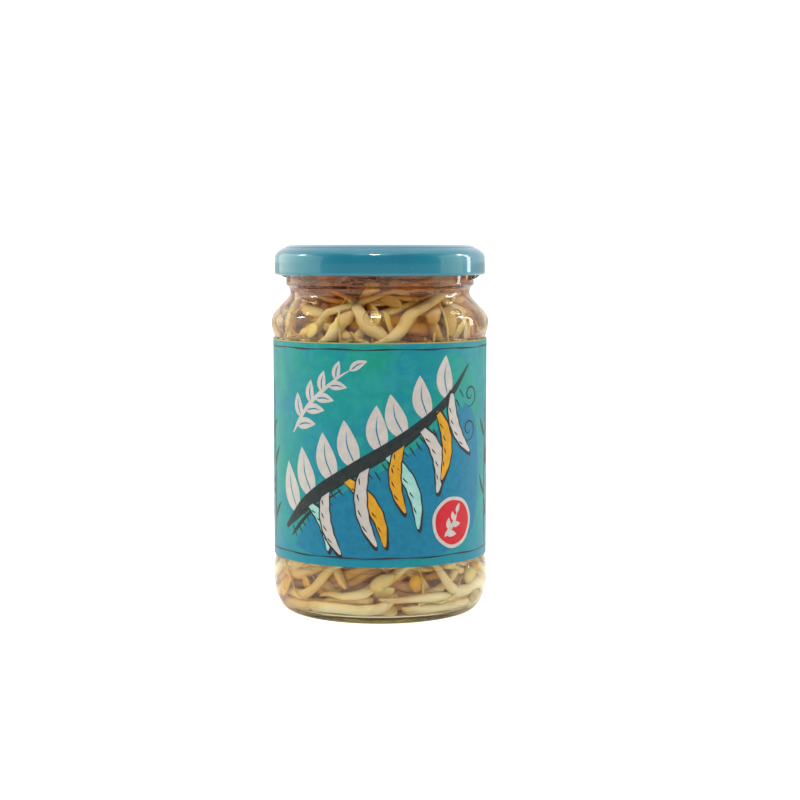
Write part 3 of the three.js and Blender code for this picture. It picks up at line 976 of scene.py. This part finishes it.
def settle(chains):
    # packs the jar: beads of different sprouts push apart, links hold, the glass keeps all in
    points = np.concatenate([chain["beads"] for chain in chains])
    radii = np.concatenate([np.full(len(chain["beads"]), chain["radius"]) for chain in chains])
    owners = np.concatenate([np.full(len(chain["beads"]), chain["owner"]) for chain in chains])
    first, second, rest, strength = chainLinks(chains)
    total = len(points)
    for turn in range(bunch["rounds"]):
        if turn % 8 == 0:
            left, right = nearPairs(points, radii, owners, 2.5)
        offset = points[left] - points[right]
        apart = np.sqrt((offset ** 2).sum(axis=1)) + 1e-6
        overlap = np.maximum(radii[left] + radii[right] - apart, 0)
        move = offset * (overlap / apart * 0.5)[:, None]
        touching = np.bincount(left, overlap > 0, total) + np.bincount(right, overlap > 0, total)
        push = gather(left, move, total) - gather(right, move, total)
        points += push / np.maximum(1, touching * 0.5)[:, None]
        for _ in range(3):
            offset = points[second] - points[first]
            length = np.sqrt((offset ** 2).sum(axis=1)) + 1e-6
            move = offset * ((length - rest) / length * strength * 0.25)[:, None]
            points += gather(first, move, total) - gather(second, move, total)
        low = floorAt(np.hypot(points[:, 0], points[:, 1])) + radii + 0.1
        points[:, 2] = np.clip(points[:, 2], low, brine["level"] - 0.6 - radii)
        limit = wallAt(points[:, 2]) - radii - bunch["clear"]
        radius = np.hypot(points[:, 0], points[:, 1])
        points[:, :2] *= np.minimum(1, limit / np.maximum(radius, 1e-6))[:, None]
        points = np.round(points, 5)
    begin = 0
    for chain in chains:
        chain["beads"] = points[begin:begin + len(chain["beads"])]
        begin += len(chain["beads"])


def templateMesh(bm, name):
    mesh = bpy.data.meshes.new(name)
    bm.to_mesh(mesh)
    bm.free()
    return mesh


def rodTemplate(sides, steps):
    # a plain rod along Z from 0 to 1, closed at both ends
    bm = bmesh.new()
    bmesh.ops.create_cone(bm, cap_ends=True, segments=sides, radius1=1, radius2=1, depth=1,
                          matrix=Matrix.Translation((0, 0, 0.5)))
    for step in range(1, steps):
        bmesh.ops.bisect_plane(bm, geom=bm.verts[:] + bm.edges[:] + bm.faces[:],
                               plane_co=(0, 0, step / steps), plane_no=(0, 0, 1))
    return templateMesh(bm, "rod")


def leafTemplate():
    # half a bean: flat on the inside, rounded outside, a little pointed at the free end
    bm = bmesh.new()
    bmesh.ops.create_uvsphere(bm, u_segments=10, v_segments=7, radius=1,
                              matrix=Matrix.Rotation(math.radians(90), 3, "Y").to_4x4())
    for vert in bm.verts:
        x, y, z = vert.co
        narrow = 1 - 0.2 * x
        dent = 0.25 * max(0, 1 - abs(y) * 2.5)
        vert.co = (x, y * narrow, (z * 0.95 if z > 0 else z * 0.35) - 0.22 * (x * x - 0.4) + dent * (z < 0))
    return templateMesh(bm, "half bean")


def bendRod(bm, layers, template, path, radiusAt, tone):
    # adds one rod to bm, bent along the path
    before = len(bm.verts)
    bm.from_mesh(template)
    bm.verts.ensure_lookup_table()
    steps = len(path) - 1
    tangents = np.gradient(path, axis=0)
    tangents /= np.linalg.norm(tangents, axis=1)[:, None]
    across = np.cross(tangents[0], (0.3, 0.2, 1))
    frames = []
    for centre, tangent in zip(path, tangents):
        across = across - tangent * across.dot(tangent)
        across /= np.linalg.norm(across)
        frames.append((Vector(centre), Vector(across), Vector(np.cross(tangent, across))))
    for index in range(before, len(bm.verts)):
        vert = bm.verts[index]
        step = min(steps, max(0, round(vert.co.z * steps)))
        radius = radiusAt(step / steps)
        centre, side, up = frames[step]
        vert[layers[0]] = tone
        vert[layers[1]] = step / steps
        vert.co = centre + side * (vert.co.x * radius) + up * (vert.co.y * radius)


def stemRadiusAt(thick, rooted, draw):
    # a stem thins towards its root; a broken one ends blunt
    swell, phase = draw(0.02, 0.1), draw(0, 6.28)

    def radiusAt(share):
        radius = thick * (1 + swell * math.sin(phase + 9 * share))
        if rooted:
            radius *= 0.28 + 0.72 * min(1, share / 0.34) ** 0.8
        end = 1 - share if rooted else min(share, 1 - share)
        return radius * (0.5 + 0.5 * min(1, end * 18) ** 0.5)

    return radiusAt


def setLeaf(bm, layers, template, beads, size, roll, tone):
    # lays one seed leaf along its beads, its back to the glass
    before = len(bm.verts)
    bm.from_mesh(template)
    bm.verts.ensure_lookup_table()
    middle = Vector(beads.mean(axis=0))
    along = Vector(beads[-1] - beads[0]).normalized()
    out = Vector((middle.x, middle.y, 0))
    out = (out - along * out.dot(along)).normalized()
    out = Matrix.Rotation(roll, 3, along) @ out
    side = out.cross(along)
    for index in range(before, len(bm.verts)):
        vert = bm.verts[index]
        x, y, z = vert.co
        vert[layers[0]] = tone
        vert[layers[1]] = 0.5 + 0.5 * x
        vert.co = middle + along * (x * size[0] / 2) + side * (y * size[1] / 2) + out * (z * size[2] / 2)


def keepInGlass(bm):
    for vert in bm.verts:
        limit = float(wallAt(vert.co.z)) - 0.12
        radius = math.hypot(vert.co.x, vert.co.y)
        if radius > limit:
            vert.co.x *= limit / radius
            vert.co.y *= limit / radius
        vert.co.z = max(vert.co.z, float(floorAt(min(radius, limit))) + 0.1)


def newFlesh():
    bm = bmesh.new()
    return bm, [bm.verts.layers.float.new("tone"), bm.verts.layers.float.new("share")]


def makeSprouts():
    chains = growBunch()
    settle(chains)
    print("sprouts packed")
    draw = drawFrom(991)
    stems, stemLayers = newFlesh()
    leaves, leafLayers = newFlesh()
    roots, rootLayers = newFlesh()
    stemRod, rootRod, halfBean = rodTemplate(8, 20), rodTemplate(5, 20), leafTemplate()
    for chain in chains:
        tone = draw(0, 1)
        if chain["kind"] == "stem":
            radiusAt = stemRadiusAt(chain["radius"], draw(0, 1) < 0.5, draw)
            bendRod(stems, stemLayers, stemRod, smoothPath(chain["beads"], 21), radiusAt, tone)
        elif chain["kind"] == "root":
            thick = bunch["rootRadius"] * draw(0.6, 1.2)
            bendRod(roots, rootLayers, rootRod, smoothPath(chain["beads"], 21),
                    lambda share: thick * (1.1 - 0.8 * share), tone)
        else:
            size = [draw(*bunch[key]) for key in ("leafLength", "leafWidth", "leafThick")]
            roll = draw(-0.5, 0.5) + (0, 0, 0, 1.4, math.pi, math.pi)[int(draw(0, 6)) % 6]
            setLeaf(leaves, leafLayers, halfBean, chain["beads"], size, roll, tone)
    for name, bm, material in (("sprout_stems", stems, stemFlesh()),
                               ("sprout_seed_leaves", leaves, leafFlesh()),
                               ("sprout_roots", roots, rootFlesh())):
        keepInGlass(bm)
        piece = placePiece(name, bm, material, "jar", 75)
        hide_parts("sprouts")
    makeCore()


def makeCore():
    # the matted middle of the bunch, seen only as warm shade between the stems
    outline = [(0, 7), (bunch["coreRadius"] - 4, 7), (bunch["coreRadius"], 10), (bunch["coreRadius"], 104),
               (bunch["coreRadius"] - 2, 109), (0, 109.5)]
    bm = turnProfile(outline, 48)
    material = newMaterial("matted sprouts in shade")
    strands = noiseAt(material, 4, 3, 0.6, distortion=1.5)
    light = spread(material, strands, 0.35, 0.65)
    colour = mixColour(material, light, linear("#cf9244"), linear("#f2cb88"))
    shader = addNode(material, "ShaderNodeBsdfPrincipled", {"Roughness": 0.6, "Specular IOR Level": 0.05},
                     {"Base Color": colour, "Normal": bumpFrom(material, strands, 2.0, 0.8)})
    piece = placePiece("sprout_core", bm, finishMaterial(material, shader), "jar")
    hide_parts("sprouts")


# the deep and neck tints are painted shade, multiplied into the flesh's own colour
flesh = {
    "nearGlass": 29.2, "deep": 23, "deepShadeTint": "#ffcf84", "deepShadeShare": 0.8,
    "shoulder": 97, "neck": 106, "neckShadeTint": "#dca455", "neckShadeShare": 0.85,
    "translucence": 0.6, "lightReach": 3.5,
}


def fleshShader(material, colour, bump, roughness=0.36):
    # painted shade: tinted darker amber where it lies deep in the jar or in its narrow neck, where little
    # light reaches
    place = addNode(material, "ShaderNodeTexCoord").outputs["Object"]
    flat = addNode(material, "ShaderNodeVectorMath", {1: (1, 1, 0)}, {0: place}, operation="MULTIPLY")
    radius = addNode(material, "ShaderNodeVectorMath", links={0: flat.outputs[0]}, operation="LENGTH")
    # painted shade: darker amber the farther the flesh lies in from the glass
    deep = spread(material, radius.outputs["Value"], flesh["nearGlass"] * mm, flesh["deep"] * mm,
                  0, flesh["deepShadeShare"])
    colour = mixColour(material, deep, colour, linear(flesh["deepShadeTint"]), "MULTIPLY")
    height = addNode(material, "ShaderNodeSeparateXYZ", links={0: place}).outputs["Z"]
    # painted shade: darker amber up in the jar's neck
    high = spread(material, height, flesh["shoulder"] * mm, flesh["neck"] * mm, 0, flesh["neckShadeShare"])
    colour = mixColour(material, high, colour, linear(flesh["neckShadeTint"]), "MULTIPLY")
    return addNode(material, "ShaderNodeBsdfPrincipled",
                   {"Roughness": roughness, "Specular IOR Level": 0.06,
                    "Subsurface Weight": flesh["translucence"],
                    "Subsurface Scale": flesh["lightReach"] * mm,
                    "Subsurface Radius": (1.0, 0.75, 0.45)},
                   {"Base Color": colour, "Normal": bump})


def stemFlesh():
    # blanched stems: moist and slightly see-through, cream with amber stains, pinker low in the jar
    material = newMaterial("blanched sprout stem")
    place = addNode(material, "ShaderNodeTexCoord").outputs["Object"]
    tone = addNode(material, "ShaderNodeAttribute", attribute_name="tone").outputs["Fac"]
    share = addNode(material, "ShaderNodeAttribute", attribute_name="share").outputs["Fac"]
    height = addNode(material, "ShaderNodeSeparateXYZ", links={0: place}).outputs["Z"]
    upper = spread(material, height, 0.03, 0.095)
    low = mixColour(material, tone, linear("#f2e6e2"), linear("#ead4cc"))
    high = mixColour(material, tone, linear("#eee2da"), linear("#e2cebc"))
    colour = mixColour(material, upper, low, high)
    stain = spread(material, noiseAt(material, 9, 3, 0.6, place), 0.52, 0.75, 0, 0.5)
    colour = mixColour(material, stain, colour, linear("#bd8748"))
    colour = mixColour(material, spread(material, share, 0.22, 0, 0, 0.6), colour, linear("#b98a4c"))
    fibre = noiseAt(material, 1.3, 2, 0.5, place)
    return finishMaterial(material, fleshShader(material, colour, bumpFrom(material, fibre, 0.12, 0.4)))


def leafFlesh():
    # seed leaves: beige to egg yellow, browner at one end
    material = newMaterial("blanched seed leaf")
    place = addNode(material, "ShaderNodeTexCoord").outputs["Object"]
    tone = addNode(material, "ShaderNodeAttribute", attribute_name="tone").outputs["Fac"]
    colour = mixColour(material, spread(material, tone, 0.1, 0.6), linear("#ead9b8"), linear("#dec08c"))
    colour = mixColour(material, spread(material, tone, 0.7, 0.8), colour, linear("#e8b22c"))
    share = addNode(material, "ShaderNodeAttribute", attribute_name="share").outputs["Fac"]
    colour = mixColour(material, spread(material, share, 0.25, 0.0, 0, 0.6), colour, linear("#c58c40"))
    blush = spread(material, noiseAt(material, 3.5, 2, 0.6, place), 0.5, 0.75, 0, 0.4)
    colour = mixColour(material, blush, colour, linear("#cf9c48"))
    wrinkle = noiseAt(material, 0.9, 2, 0.5, place)
    return finishMaterial(material, fleshShader(material, colour, bumpFrom(material, wrinkle, 0.12, 0.5)))


def rootFlesh():
    # thin roots: pale straw to light brown
    material = newMaterial("blanched root")
    tone = addNode(material, "ShaderNodeAttribute", attribute_name="tone").outputs["Fac"]
    streak = noiseAt(material, 2, 2)
    colour = mixColour(material, tone, linear("#ead7ae"), linear("#cfa468"))
    colour = mixColour(material, spread(material, streak, 0.5, 0.7, 0, 0.5), colour, linear("#b07a3c"))
    bump = bumpFrom(material, streak, 0.1, 0.4)
    return finishMaterial(material, fleshShader(material, colour, bump, 0.45))


# Air bubbles caught under the shoulder

bubbles = {
    # angle from the front in degrees (to the right), height, width along the glass, height, depth
    "list": [(-3.5, 97.6, 6.4, 4.4, 1.5), (51, 98.0, 3.0, 2.6, 1.2), (-38, 100.5, 1.6, 1.4, 1.0),
             (-47, 101.6, 1.1, 1.0, 0.9), (22, 102.6, 1.2, 1.1, 0.9), (36, 105.8, 0.9, 0.9, 0.7),
             (120, 98.4, 3.6, 3.0, 1.3), (176, 99.2, 2.2, 2.0, 1.1), (-128, 97.8, 4.4, 3.4, 1.4),
             (-76, 12.2, 0.9, 0.8, 0.6), (-71, 9.8, 0.7, 0.7, 0.5), (-66, 8.9, 0.8, 0.7, 0.6)],
    "fromGlass": 0.28,
}


def makeBubbles():
    bm = bmesh.new()
    for angle, height, width, tall, deep in bubbles["list"]:
        made = bmesh.ops.create_uvsphere(bm, u_segments=24, v_segments=16, radius=0.5)["verts"]
        bmesh.ops.scale(bm, vec=(width, deep, tall), verts=made)
        slope = float(wallAt(height + 1) - wallAt(height - 1)) / 2
        bmesh.ops.rotate(bm, cent=(0, 0, 0), matrix=Matrix.Rotation(math.atan(slope), 3, "X"), verts=made)
        inside = float(wallAt(height)) - bubbles["fromGlass"] - deep / 2 * math.hypot(1, slope)
        bmesh.ops.translate(bm, vec=(0, -inside, height), verts=made)
        turn = Matrix.Rotation(math.radians(angle), 3, "Z")
        bmesh.ops.rotate(bm, cent=(0, 0, 0), matrix=turn, verts=made)
    material = newMaterial("air bubble in water")
    shader = addNode(material, "ShaderNodeBsdfPrincipled",
                     {"Base Color": (1, 1, 1, 1), "Roughness": 0.0, "IOR": 0.746,
                      "Transmission Weight": 1.0})
    mixed = letLampsThrough(material, shader, (1, 1, 1, 1))
    piece = placePiece("brine_bubbles", bm, finishMaterial(material, mixed), "jar")
    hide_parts("brine")


placeCamera()
lightStudio()
layFloor()
print("studio ready")
makeJar()
print("jar ready")
makeBrine()
makeBubbles()
makeLid()
makeSeal()
print("lid ready")
makeLabel()
makePrint()
print("label ready")
makeSprouts()
print("sprouts ready")
